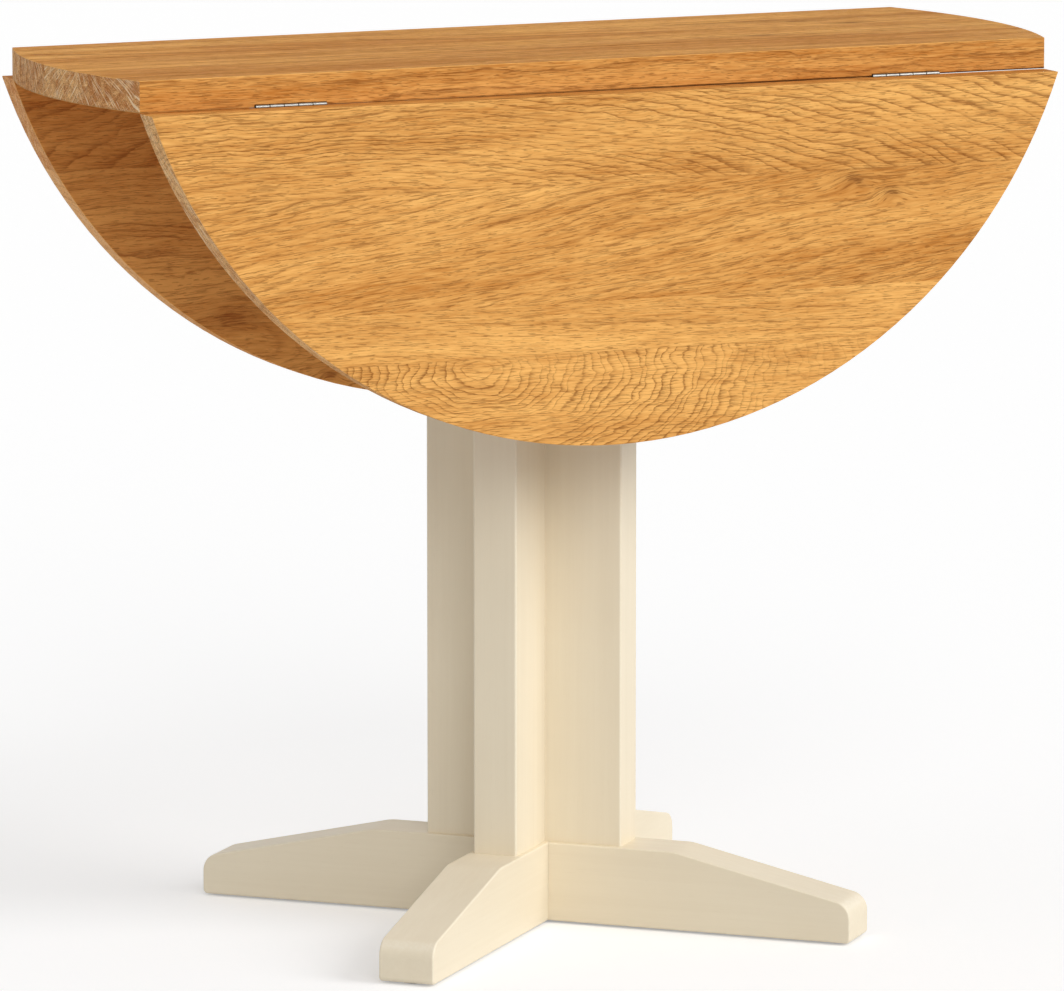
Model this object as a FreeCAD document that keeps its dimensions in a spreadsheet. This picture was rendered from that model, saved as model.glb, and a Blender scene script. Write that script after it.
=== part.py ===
import FreeCAD, Part
import math
import os
import Sketcher
from FreeCAD import Placement, Rotation, Vector

# Round extending table: a fixed centre board on a crossed plank column, with a drop leaf
# hinged along each long side and held up by two telescopic locking stays per leaf.
# X runs along the hinge lines, the front leaf lies towards -Y, Z is up from the floor.

X_AXIS = Vector(1, 0, 0)
Z_AXIS = Vector(0, 0, 1)
UP = Rotation()
DOWN = Rotation(X_AXIS, 180)
HALF_TURN = Placement(Vector(), Rotation(Z_AXIS, 180))
SIDES = {"left": -1, "right": 1}
ENDS = {"front": Placement(), "rear": HALF_TURN}
QUARTER_TURN = 90
ARM_TURN = 45
CROSS_TURN = ARM_TURN - QUARTER_TURN

# Driving sizes in millimetres
SIZES = {
    # top
    "top_radius": 450.0,
    "board_half_wide": 148.0,
    "top_thick": 27.0,
    "table_tall": 774.0,
    "arris": 0.6,
    "leaf_gap": 0.5,
    "axis_rise": 0.2,
    # butt hinges
    "hinge_long": 65.0,
    "hinge_reach": 25.0,
    "hinge_plate_thick": 1.5,
    "hinge_corner": 3.0,
    "knuckle_radius": 2.0,
    "knuckle_room": 0.4,
    "knuckle_gap": 0.3,
    "hinge_pin_radius": 1.0,
    "running_gap": 0.05,
    "hinge_screw_pitch": 22.0,
    "hinge_screw_reach": 15.0,
    # crossed base
    "glide_thick": 2.0,
    "glide_radius": 14.0,
    "glide_inset": 24.0,
    "base_top": 72.0,
    "base_wide": 50.0,
    "base_half_long": 304.0,
    "base_flat": 142.0,
    "base_tip": 36.0,
    "nose_radius": 16.0,
    "toe_radius": 4.0,
    "shoulder_radius": 40.0,
    "base_round": 1.8,
    "lap_gap": 0.15,
    # column
    "plank_thick": 40.0,
    "wing_wide": 71.0,
    "plank_round": 2.0,
    "dowel_radius": 5.0,
    "dowel_bite": 26.0,
    "dowel_margin": 60.0,
    "dowel_room": 0.05,
    # bearers under the board
    "bearer_tall": 45.0,
    "bearer_margin": 13.6,
    "bearer_taper_long": 42.0,
    "bearer_tip": 20.0,
    "bearer_round": 1.5,
    "bearer_screw_inset": 32.0,
    # cross cleats under the board
    "cleat_thick": 30.0,
    "cleat_margin": 23.0,
    "cleat_tall": 45.0,
    "cleat_tip": 18.0,
    "cleat_taper_long": 34.0,
    "cleat_round": 1.5,
    "cleat_screw_inset": 13.0,
    # bolts and threaded inserts
    "bolt_place": 57.0,
    "bolt_radius": 4.0,
    "bolt_head_radius": 6.5,
    "bolt_head_tall": 8.0,
    "bolt_socket_radius": 3.2,
    "bolt_socket_deep": 4.5,
    "bolt_bite": 22.0,
    "bolt_room": 0.3,
    "base_recess": 16.0,
    "head_recess": 20.0,
    "washer_radius": 11.0,
    "washer_thick": 1.6,
    "recess_room": 1.0,
    "insert_radius": 6.0,
    "insert_long": 25.0,
    "insert_sink": 0.5,
    "insert_end_room": 3.0,
    # long screws of bearers and cleats
    "long_screw_radius": 2.25,
    "long_screw_head_radius": 4.5,
    "long_screw_head_tall": 2.6,
    "long_screw_long": 55.0,
    "long_screw_bite": 17.0,
    # short screws of hinges and brackets
    "short_screw_radius": 1.5,
    "short_screw_head_radius": 3.0,
    "short_screw_head_tall": 1.4,
    "short_screw_long": 16.0,
    "screw_tip": 3.0,
    "screw_room": 0.1,
    # telescopic locking stays
    "stay_from_hinge": 42.0,
    "stay_stand_off": 8.0,
    "pin_from_middle": 11.0,
    "stay_off": 12.0,
    "stay_drop": 32.0,
    "eye_radius": 7.0,
    "eye_thick": 4.0,
    "neck_wide": 8.0,
    "stay_start": 9.0,
    "tube_radius": 6.0,
    "tube_end_gap": 8.0,
    "tube_floor": 3.0,
    "rod_radius": 4.0,
    "rod_end_gap": 3.0,
    "rod_tip": 0.8,
    "slide_gap": 0.3,
    "lip_radius": 7.6,
    "lip_thick": 1.7,
    "collar_radius": 9.5,
    "collar_long": 16.0,
    "collar_flute_radius": 1.4,
    "side_gap": 0.3,
    "stay_pin_radius": 2.5,
    "stay_pin_head_radius": 4.2,
    "stay_pin_head_thick": 1.6,
    "frame_pin_shoulder_radius": 5.5,
    "frame_pin_bite": 22.0,
    # leaf brackets of the stays
    "bracket_half_wide": 9.0,
    "bracket_half_long": 22.0,
    "bracket_thick": 2.0,
    "bracket_screw_place": 15.0,
    "cheek_thick": 3.0,
    "cheek_half_wide": 6.5,
    # length by which a cutting shape passes the face it opens
    "overrun": 1.0,
}

# Share of the top's radius at which the stays run
STAY_LINE_SHARE = 0.4765

# Counts
KNUCKLES = 5
HINGE_SCREWS = 3
CLEAT_SCREWS = 3
DOWELS = 5
COLLAR_FLUTES = 10

# Sizes worked out from the driving ones
WORKED_SIZES = {
    "under_board": "dims.table_tall - dims.top_thick",
    "under_bearer": "under_board - dims.bearer_tall",
    "column_tall": "under_bearer - dims.base_top",
    "axis_height": "under_board + dims.axis_rise",
    "leaf_half_chord": "sqrt(dims.top_radius ^ 2 - (dims.board_half_wide + dims.leaf_gap) ^ 2)",
    "board_half_chord": "sqrt(dims.top_radius ^ 2 - dims.board_half_wide ^ 2)",
    "stay_line": "dims.top_radius * %g" % STAY_LINE_SHARE,
    "hinge_centre": "stay_line + dims.stay_from_hinge + dims.hinge_long / 2",
    "pin_face": "stay_line - dims.eye_thick / 2 - dims.stay_stand_off",
    "cleat_line": "pin_face - dims.cleat_thick / 2",
    "column_half_wide": "dims.plank_thick / 2 + dims.wing_wide",
    "bearer_corner": "dims.board_half_wide - dims.bearer_margin",
    "bearer_half_long": "bearer_corner / sin(%d) - dims.plank_thick / 2" % ARM_TURN,
    "cleat_half_long": "dims.board_half_wide - dims.cleat_margin",
    "cleat_screw_pitch": "cleat_half_long - dims.cleat_taper_long - dims.cleat_screw_inset",
    "base_mid": "(dims.base_top + dims.glide_thick) / 2",
    "bearer_mid": "dims.bearer_tall / 2",
    "knuckle_pitch": "dims.hinge_long / %d" % KNUCKLES,
    "plate_start": "dims.knuckle_radius + dims.knuckle_room",
    "frame_pin_inward": "dims.board_half_wide - dims.pin_from_middle",
    "stay_circle": "sqrt(frame_pin_inward ^ 2 + dims.stay_drop ^ 2)",
    "stay_reach": "sqrt(stay_circle ^ 2 - dims.stay_off ^ 2)",
    "stay_rise": "stay_reach - dims.stay_drop",
    "stay_closed": "sqrt((frame_pin_inward - dims.stay_off) ^ 2 + stay_rise ^ 2)",
    "tube_long": "stay_closed - dims.eye_radius - dims.tube_end_gap",
    "tube_bottom": "dims.stay_start + dims.tube_floor",
    "rod_long": "stay_closed - tube_bottom - dims.rod_end_gap",
    "collar_start": "tube_long - dims.lip_thick - dims.side_gap - dims.collar_long",
    "ring_start": "collar_start - dims.side_gap - dims.lip_thick",
    "cheek_inner": "dims.eye_thick / 2 + dims.side_gap",
    "cheek_outer": "cheek_inner + dims.cheek_thick",
}

doc = FreeCAD.newDocument("extending_table")
NODES = {}


def fill_sheet(name, cells):
    sheet = doc.addObject("Spreadsheet::Sheet", name)
    for row, (alias, content) in enumerate(cells, 1):
        cell = "A%d" % row
        sheet.set(cell, content)
        sheet.setAlias(cell, alias)
    doc.recompute()
    return sheet


dims = fill_sheet("dims", [(alias, str(number)) for alias, number in SIZES.items()])
worked = fill_sheet("worked", [(alias, "=" + text) for alias, text in WORKED_SIZES.items()])


def size(alias):
    sheet = dims if alias in SIZES else worked
    return float(sheet.get(alias))


# Helpers for the document's objects
def bind(item, **formulas):
    for name, formula in formulas.items():
        item.setExpression(name, formula)
    return item


def put(item, x="0", y="0", z="0"):
    for axis, formula in (("x", x), ("y", y), ("z", z)):
        item.setExpression("Placement.Base." + axis, formula)
    return item


def box(name, long, wide, tall, x, y, z):
    item = doc.addObject("Part::Box", name)
    bind(item, Length=long, Width=wide, Height=tall)
    return put(item, x, y, z)


def rod_along(direction, name, radius, long, x="0", y="0", z="0"):
    item = doc.addObject("Part::Cylinder", name)
    item.Placement.Rotation = Rotation(Z_AXIS, direction)
    bind(item, Radius=radius, Height=long)
    return put(item, x, y, z)


def fuse(name, pieces):
    item = doc.addObject("Part::MultiFuse", name)
    item.Shapes = pieces
    item.Refine = True
    return item


def cut(name, base, tools):
    tool = tools[0]
    if len(tools) > 1:
        tool = doc.addObject("Part::Compound", name + "_cuts")
        tool.Links = tools
    item = doc.addObject("Part::Cut", name)
    item.Base = base
    item.Tool = tool
    return item


def node(name, item, placement=Placement()):
    item.Label = name
    item.Placement = placement
    NODES[name] = item
    return item


def shaped(name, shapes):
    item = doc.addObject("Part::Feature", name)
    item.Shape = Part.makeCompound(shapes)
    return item


def formula_value(formula):
    probe = doc.getObject("probe") or doc.addObject("Spreadsheet::Sheet", "probe")
    probe.set("A1", "=" + formula)
    probe.recompute()
    return float(probe.get("A1"))


def hold_point(sketch, index, end, formulas):
    kinds = (("DistanceX", formulas[0], -2), ("DistanceY", formulas[1], -1))
    for kind, formula, axis in kinds:
        if formula == "0":
            sketch.addConstraint(Sketcher.Constraint("PointOnObject", index, end, axis))
            continue
        rule = Sketcher.Constraint(kind, -1, 1, index, end, formula_value(formula))
        place = sketch.addConstraint(rule)
        sketch.setExpression("Constraints[%d]" % place, formula)


def new_sketch(body, plane):
    sketch = body.newObject("Sketcher::SketchObject", body.Name + "_outline")
    flat = [item for item in body.Origin.OriginFeatures if item.Role == plane]
    sketch.AttachmentSupport = [(flat[0], "")]
    sketch.MapMode = "FlatFace"
    return sketch


def outline(body, plane, corners):
    sketch = new_sketch(body, plane)
    points = [Vector(formula_value(a), formula_value(b), 0) for a, b in corners]
    count = len(points)
    for index in range(count):
        line = Part.LineSegment(points[index], points[(index + 1) % count])
        sketch.addGeometry(line, False)
    for index in range(count):
        rule = Sketcher.Constraint("Coincident", index, 2, (index + 1) % count, 1)
        sketch.addConstraint(rule)
    for index, corner in enumerate(corners):
        hold_point(sketch, index, 1, corner)
    return sketch


def pad(body, sketch, long, midplane=False):
    item = body.newObject("PartDesign::Pad", body.Name + "_pad")
    item.Profile = sketch
    item.Midplane = midplane
    bind(item, Length=long)
    doc.recompute()
    return item


def round_edges(body, radius, wanted):
    base = body.Tip
    edges = enumerate(base.Shape.Edges, 1)
    names = ["Edge%d" % number for number, edge in edges if wanted(edge)]
    item = body.newObject("PartDesign::Fillet", body.Name + "_round")
    item.Base = (base, names)
    bind(item, Radius=radius)
    doc.recompute()
    return item


def runs_along(axis):
    def test(edge):
        if edge.Curve.TypeId != "Part::GeomLine":
            return False
        return abs(abs(edge.Curve.Direction.dot(axis)) - 1) < 1e-6
    return test


# Turned shapes: screws, bolts, pins, each along +Z from the origin
def turned(profile):
    points = [Vector(radius, 0, along) for radius, along in profile]
    start = Vector(0, 0, profile[0][1])
    end = Vector(0, 0, profile[-1][1])
    wire = Part.makePolygon([start] + points + [end, start])
    return Part.Face(wire).revolve(Vector(), Z_AXIS, 360)


def screw(kind):
    shank = size(kind + "_radius")
    long = size(kind + "_long")
    head = (size(kind + "_head_radius"), 0)
    neck = (shank, size(kind + "_head_tall"))
    return turned([head, neck, (shank, long - size("screw_tip")), (0, long)])


def screw_hole(kind):
    room = size("screw_room")
    head = size(kind + "_head_radius") + room
    shank = size(kind + "_radius") + room
    neck = size(kind + "_head_tall")
    long = size(kind + "_long") + room
    return turned([(head, -size("overrun")), (head, 0), (shank, neck), (shank, long)])


def placed_copies(shape, places):
    copies = []
    for place in places:
        copy = shape.copy()
        copy.Placement = place.multiply(copy.Placement)
        copies.append(copy)
    return copies


def spread(count, pitch):
    return [(number - (count - 1) / 2) * pitch for number in range(count)]


def seat(x, y, z, turn=UP):
    return Placement(Vector(x, y, z), turn)


# Places shared by holes and what sits in them
def arm_places(reach, height, turn=UP):
    places = []
    for quarter in range(4):
        arm = Placement(Vector(), Rotation(Z_AXIS, CROSS_TURN - quarter * QUARTER_TURN))
        places.append(arm.multiply(seat(reach, 0, height, turn)))
    return places


def hinge_line():
    return seat(0, -size("board_half_wide"), size("axis_height"))


def leaf_seat():
    hanging = Placement(Vector(), Rotation(X_AXIS, 90))
    return hinge_line().multiply(hanging)


def hinge_screw_places(side_sign, leaf_side):
    across = -size("hinge_screw_reach") if leaf_side else size("hinge_screw_reach")
    height = -size("axis_rise") - size("hinge_plate_thick")
    middle = side_sign * size("hinge_centre")
    along = spread(HINGE_SCREWS, size("hinge_screw_pitch"))
    return [seat(middle + step, across, height) for step in along]


def bracket_screw_places(side_sign):
    height = -size("axis_rise") - size("bracket_thick")
    middle = side_sign * size("stay_line")
    steps = (-size("bracket_screw_place"), size("bracket_screw_place"))
    return [seat(middle, step - size("stay_reach"), height) for step in steps]


def board_screw_places():
    places = []
    for end in ENDS.values():
        for sign in SIDES.values():
            for place in hinge_screw_places(sign, False):
                places.append(end.multiply(hinge_line()).multiply(place))
    return places


def leaf_screw_places():
    places = []
    for sign in SIDES.values():
        places += hinge_screw_places(sign, True) + bracket_screw_places(sign)
    return places


def long_screw_height():
    return size("under_board") + size("long_screw_bite") - size("long_screw_long")


def cleat_screw_places():
    places = []
    for sign in SIDES.values():
        for step in spread(CLEAT_SCREWS, size("cleat_screw_pitch")):
            places.append(seat(sign * size("cleat_line"), step, long_screw_height()))
    return places


def bearer_screw_places():
    reach = size("bearer_half_long") - size("bearer_screw_inset")
    return arm_places(reach, long_screw_height())


def base_bolt_places():
    return arm_places(size("bolt_place"), size("glide_thick") + size("base_recess"))


def head_bolt_places():
    height = size("under_board") - size("head_recess")
    return arm_places(size("bolt_place"), height, DOWN)


def insert_places():
    sink = size("insert_sink")
    low = arm_places(size("bolt_place"), size("base_top") + sink)
    high = arm_places(size("bolt_place"), size("under_bearer") - sink, DOWN)
    return low + high


def dowel_places():
    bottom = size("base_top") + size("dowel_margin")
    top = size("under_bearer") - size("dowel_margin")
    half = size("plank_thick") / 2 + size("dowel_bite")
    along = Rotation(Z_AXIS, Vector(1, 0, 0))
    turn = Placement(Vector(), Rotation(Z_AXIS, ARM_TURN))
    heights = [(bottom + top) / 2 + step for step in spread(DOWELS, (top - bottom) / (DOWELS - 1))]
    return [turn.multiply(seat(-half, 0, height, along)) for height in heights]


# Fasteners
def bolt(clamp):
    head = size("bolt_head_radius")
    tall = size("bolt_head_tall")
    shank = size("bolt_radius")
    long = clamp + size("bolt_bite")
    low = -size("washer_thick")
    profile = [(head, low - tall), (head, low), (shank, low), (shank, long)]
    body = turned(profile)
    socket = Part.makeCylinder(
        size("bolt_socket_radius"), size("bolt_socket_deep"), Vector(0, 0, low - tall)
    )
    return body.cut(socket)


def bolt_hole(clamp, recess):
    room = size("bolt_room")
    wide = size("washer_radius") + size("recess_room")
    shank = size("bolt_radius") + room
    over = size("overrun")
    return turned([(wide, -recess - over), (wide, 0), (shank, 0), (shank, clamp + over)])


def washer():
    ring = Part.makeCylinder(size("washer_radius"), size("washer_thick"))
    hole = Part.makeCylinder(size("bolt_radius") + size("bolt_room"), size("washer_thick"))
    return ring.cut(hole).translated(Vector(0, 0, -size("washer_thick")))


def insert():
    outer = Part.makeCylinder(size("insert_radius"), size("insert_long"))
    bore = Part.makeCylinder(size("bolt_radius") + size("running_gap"), size("insert_long"))
    return outer.cut(bore)


def insert_hole():
    deep = size("insert_long") + size("insert_end_room")
    over = size("overrun")
    radius = size("insert_radius") + size("dowel_room")
    return Part.makeCylinder(radius, deep + over, Vector(0, 0, -over))


def dowel(room=0.0):
    half = size("plank_thick") / 2 + size("dowel_bite")
    radius = size("dowel_radius") + room
    return Part.makeCylinder(radius, 2 * half + 2 * room, Vector(0, 0, -room))


def base_clamp():
    return size("base_top") - size("glide_thick") - size("base_recess")


def head_clamp():
    return size("bearer_tall") - size("head_recess")


# Top: fixed board and the two leaves
def round_slab(body, lines, arcs):
    sketch = new_sketch(body, "XY_Plane")
    for start, end in lines:
        sketch.addGeometry(Part.LineSegment(start, end), False)
    for middle, radius, start, end in arcs:
        circle = Part.Circle(middle, Z_AXIS, radius)
        sketch.addGeometry(Part.ArcOfCircle(circle, start, end), False)
    return sketch


def make_board():
    body = doc.addObject("PartDesign::Body", "board_blank")
    radius = size("top_radius")
    half = size("board_half_wide")
    chord = size("board_half_chord")
    lean = math.asin(half / radius)
    lines = [
        (Vector(-chord, -half), Vector(chord, -half)),
        (Vector(chord, half), Vector(-chord, half)),
    ]
    arcs = [
        (Vector(), radius, -lean, lean),
        (Vector(), radius, math.pi - lean, math.pi + lean),
    ]
    sketch = round_slab(body, lines, arcs)
    links = ((0, 2, 2, 1), (2, 2, 1, 1), (1, 2, 3, 1), (3, 2, 0, 1))
    for first, first_end, second, second_end in links:
        rule = Sketcher.Constraint("Coincident", first, first_end, second, second_end)
        sketch.addConstraint(rule)
    for arc in (2, 3):
        sketch.addConstraint(Sketcher.Constraint("Coincident", arc, 3, -1, 1))
    place = sketch.addConstraint(Sketcher.Constraint("Radius", 2, radius))
    sketch.setExpression("Constraints[%d]" % place, "dims.top_radius")
    for line, sign in ((0, "-"), (1, "")):
        sketch.addConstraint(Sketcher.Constraint("Horizontal", line))
        height = half if sign == "" else -half
        place = sketch.addConstraint(Sketcher.Constraint("DistanceY", -1, 1, line, 1, height))
        sketch.setExpression("Constraints[%d]" % place, sign + "dims.board_half_wide")
    pad(body, sketch, "dims.top_thick")
    round_edges(body, "dims.arris", lambda edge: True)
    bind(body, **{"Placement.Base.z": "worked.under_board"})
    notches = knuckle_notches("board_front", "-dims.board_half_wide", "worked.axis_height")
    notches += knuckle_notches("board_rear", "dims.board_half_wide", "worked.axis_height")
    holes = placed_copies(screw_hole("short_screw"), board_screw_places())
    places = cleat_screw_places() + bearer_screw_places()
    holes += placed_copies(screw_hole("long_screw"), places)
    return node("centre_board", cut("board_cut", body, notches + [shaped("board_holes", holes)]))


def knuckle_notches(name, across, height):
    notches = []
    long = "dims.hinge_long + 2 * dims.knuckle_gap"
    for side, sign in SIDES.items():
        start = "%d * worked.hinge_centre - (%s) / 2" % (sign, long)
        label = "%s_notch_%s" % (name, side)
        notches.append(rod_along(X_AXIS, label, "worked.plate_start", long, start, across, height))
    return notches


def make_leaf(end):
    body = doc.addObject("PartDesign::Body", end + "_leaf_blank")
    radius = size("top_radius")
    half = size("board_half_wide")
    gap = size("leaf_gap")
    chord = size("leaf_half_chord")
    lean = math.asin((half + gap) / radius)
    lines = [(Vector(chord, -gap), Vector(-chord, -gap))]
    arcs = [(Vector(0, half), radius, math.pi + lean, 2 * math.pi - lean)]
    sketch = round_slab(body, lines, arcs)
    sketch.addConstraint(Sketcher.Constraint("Coincident", 0, 2, 1, 1))
    sketch.addConstraint(Sketcher.Constraint("Coincident", 1, 2, 0, 1))
    sketch.addConstraint(Sketcher.Constraint("Horizontal", 0))
    sketch.addConstraint(Sketcher.Constraint("PointOnObject", 1, 3, -2))
    rules = (
        (Sketcher.Constraint("Radius", 1, radius), "dims.top_radius"),
        (Sketcher.Constraint("DistanceY", -1, 1, 1, 3, half), "dims.board_half_wide"),
        (Sketcher.Constraint("DistanceY", -1, 1, 0, 1, -gap), "-dims.leaf_gap"),
    )
    for rule, formula in rules:
        place = sketch.addConstraint(rule)
        sketch.setExpression("Constraints[%d]" % place, formula)
    pad(body, sketch, "dims.top_thick")
    round_edges(body, "dims.arris", lambda edge: True)
    bind(body, **{"Placement.Base.z": "-dims.axis_rise"})
    notches = knuckle_notches(end, "0", "0")
    holes = placed_copies(screw_hole("short_screw"), leaf_screw_places())
    item = cut(end + "_leaf_cut", body, notches + [shaped(end + "_leaf_holes", holes)])
    return node(end + "_leaf", item, ENDS[end].multiply(leaf_seat()))


# What the rear leaf carries is made like the front leaf's and given a half turn,
# which brings each piece to the other side
def own_side(end, side):
    if end == "front":
        return side
    return "left" if side == "right" else "right"


# Hinges, made in the hinge line's own frame with the leaf up
def knuckle_numbers(leaf_side):
    return [number for number in range(KNUCKLES) if (number % 2 == 1) == leaf_side]


def hinge_plate(name, side, leaf_side):
    sign = SIDES[side]
    middle = "%d * worked.hinge_centre" % sign
    first = middle + " - dims.hinge_long / 2"
    reach = "dims.hinge_reach - worked.plate_start"
    across = "-dims.hinge_reach" if leaf_side else "worked.plate_start"
    low = "-dims.axis_rise - dims.hinge_plate_thick"
    thick = "dims.hinge_plate_thick"
    plate = box(name + "_plate", "dims.hinge_long", reach, thick, first, across, low)
    doc.recompute()
    corners = []
    for number, edge in enumerate(plate.Shape.Edges, 1):
        outer = abs(edge.CenterOfMass.y) > size("hinge_reach") - size("running_gap")
        if runs_along(Z_AXIS)(edge) and outer:
            corners.append((number, size("hinge_corner"), size("hinge_corner")))
    rounded = doc.addObject("Part::Fillet", name + "_rounded")
    rounded.Base = plate
    rounded.Edges = corners
    pieces = [rounded]
    for number in knuckle_numbers(leaf_side):
        start = "%s + %d * worked.knuckle_pitch + dims.knuckle_gap / 2" % (first, number)
        long = "worked.knuckle_pitch - dims.knuckle_gap"
        label = "%s_knuckle_%d" % (name, number)
        pieces.append(rod_along(X_AXIS, label, "dims.knuckle_radius", long, start))
        web = "worked.plate_start + dims.overrun"
        edge = "-(%s)" % web if leaf_side else "0"
        pieces.append(box(label + "_web", long, web, thick, start, edge, low))
    bore_start = first + " - dims.overrun"
    bore_long = "dims.hinge_long + 2 * dims.overrun"
    bore_radius = "dims.hinge_pin_radius + dims.running_gap"
    bore = rod_along(X_AXIS, name + "_bore", bore_radius, bore_long, bore_start)
    holes = placed_copies(screw_hole("short_screw"), hinge_screw_places(sign, leaf_side))
    return cut(name + "_cut", fuse(name + "_body", pieces), [bore, shaped(name + "_holes", holes)])


def make_hinges():
    for end, turn in ENDS.items():
        fixed = turn.multiply(hinge_line())
        moving = turn.multiply(leaf_seat())
        for side in SIDES:
            name = "hinge_%s_%s" % (end, side)
            own = own_side(end, side)
            node(name + "_board_plate", hinge_plate(name + "_board", own, False), fixed)
            node(name + "_leaf_plate", hinge_plate(name + "_leaf", own, True), moving)
            start = "%d * worked.hinge_centre - dims.hinge_long / 2" % SIDES[own]
            radius = "dims.hinge_pin_radius"
            pin = rod_along(X_AXIS, name + "_pin_rod", radius, "dims.hinge_long", start)
            holder = doc.addObject("Part::Compound", name + "_pin_set")
            holder.Links = [pin]
            node(name + "_pin", holder, fixed)


def make_short_screws():
    shape = screw("short_screw")
    boards = placed_copies(shape, board_screw_places())
    node("hinge_screws_board", shaped("board_short_screws", boards))
    for end, turn in ENDS.items():
        seated = turn.multiply(leaf_seat())
        for group in ("hinge", "bracket"):
            places = []
            for sign in SIDES.values():
                if group == "hinge":
                    places += hinge_screw_places(sign, True)
                else:
                    places += bracket_screw_places(sign)
            item = shaped("%s_%s_short_screws" % (end, group), placed_copies(shape, places))
            node("%s_screws_%s_leaf" % (group, end), item, seated)


# Crossed base, column and head
def foot_profile():
    tip = "dims.base_tip"
    return [
        ("-dims.base_half_long", "dims.glide_thick"),
        ("dims.base_half_long", "dims.glide_thick"),
        ("dims.base_half_long", tip),
        ("dims.base_flat", "dims.base_top"),
        ("-dims.base_flat", "dims.base_top"),
        ("-dims.base_half_long", tip),
    ]


def across_edge_at(reach_alias, height):
    def test(edge):
        middle = edge.CenterOfMass
        near = size("running_gap")
        at_reach = abs(abs(middle.x) - size(reach_alias)) < near
        at_height = abs(middle.z - height) < near
        return runs_along(Vector(0, 1, 0))(edge) and at_reach and at_height
    return test


def beam(name, corners, wide, rounds, edge_round):
    body = doc.addObject("PartDesign::Body", name + "_blank")
    pad(body, outline(body, "XZ_Plane", corners), wide, True)
    for radius, test in rounds:
        round_edges(body, radius, test)
    half = formula_value(wide) / 2

    def on_flank(edge):
        box_y = edge.BoundBox
        near = size("running_gap")
        flat = box_y.YLength < near
        return flat and abs(abs(edge.CenterOfMass.y) - half) < near

    round_edges(body, edge_round, on_flank)
    return body


def lap_notch(name, wide, height, upward, top):
    side = "%s + 2 * dims.lap_gap" % wide
    corner = "-(%s) / 2" % side
    if upward:
        tall = "%s - %s + dims.overrun" % (top, height)
        return box(name + "_lap", side, side, tall, corner, corner, height)
    tall = "%s + dims.overrun" % height
    return box(name + "_lap", side, side, tall, corner, corner, "-dims.overrun")


def make_base():
    rounds = [
        ("dims.shoulder_radius", across_edge_at("base_flat", size("base_top"))),
        ("dims.nose_radius", across_edge_at("base_half_long", size("base_tip"))),
        ("dims.toe_radius", across_edge_at("base_half_long", size("glide_thick"))),
    ]
    for name, turn, notch_up in (("lower", CROSS_TURN, True), ("upper", ARM_TURN, False)):
        label = "base_beam_" + name
        blank = beam(label, foot_profile(), "dims.base_wide", rounds, "dims.base_round")
        notch = lap_notch(label, "dims.base_wide", "worked.base_mid", notch_up, "dims.base_top")
        hole = bolt_hole(base_clamp(), size("base_recess"))
        item = cut(label + "_cut", blank, [notch, local_holes(label, hole, base_bolt_places(), turn)])
        node(label, item, Placement(Vector(), Rotation(Z_AXIS, turn)))
    reach = size("base_half_long") - size("glide_inset")
    glide = Part.makeCylinder(size("glide_radius"), size("glide_thick"))
    node("foot_glides", shaped("glide_discs", placed_copies(glide, arm_places(reach, 0))))


def local_holes(name, shape, places, turn):
    back = Placement(Vector(), Rotation(Z_AXIS, -turn))
    near = size("bolt_radius")
    local = [back.multiply(place) for place in places]
    kept = [place for place in local if abs(place.Base.y) < near]
    return shaped(name + "_holes", placed_copies(shape, kept))


def plank(name, start, end):
    body = doc.addObject("PartDesign::Body", name + "_blank")
    half = "dims.plank_thick / 2"
    corners = [(start, "-" + half), (end, "-" + half), (end, half), (start, half)]
    pad(body, outline(body, "XY_Plane", corners), "worked.column_tall")
    reach = size("column_half_wide") - size("running_gap")

    def outer(edge):
        return runs_along(Z_AXIS)(edge) and abs(edge.CenterOfMass.x) > reach

    round_edges(body, "dims.plank_round", outer)
    bind(body, **{"Placement.Base.z": "dims.base_top"})
    return body


def make_column():
    half = "dims.plank_thick / 2"
    planks = (
        ("core_plank", "-worked.column_half_wide", "worked.column_half_wide", CROSS_TURN),
        ("wing_front", "-worked.column_half_wide", "-" + half, ARM_TURN),
        ("wing_rear", half, "worked.column_half_wide", ARM_TURN),
    )
    for name, start, end, turn in planks:
        label = "column_" + name
        back = Placement(Vector(), Rotation(Z_AXIS, -turn))
        pegs = [back.multiply(place) for place in dowel_places()]
        peg_holes = shaped(label + "_peg_holes", placed_copies(dowel(size("dowel_room")), pegs))
        wells = local_holes(label, insert_hole(), insert_places(), turn)
        item = cut(label + "_cut", plank(label, start, end), [peg_holes, wells])
        node(label, item, Placement(Vector(), Rotation(Z_AXIS, turn)))
    node("column_dowels", shaped("dowel_pegs", placed_copies(dowel(), dowel_places())))
    node("column_inserts", shaped("insert_sleeves", placed_copies(insert(), insert_places())))


def bearer_profile(half, tall, tip, taper):
    inner = "(%s - %s)" % (half, taper)
    low = "(%s - %s)" % (tall, tip)
    return [
        ("-" + inner, "0"),
        (inner, "0"),
        (half, low),
        (half, tall),
        ("-" + half, tall),
        ("-" + half, low),
    ]


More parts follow.
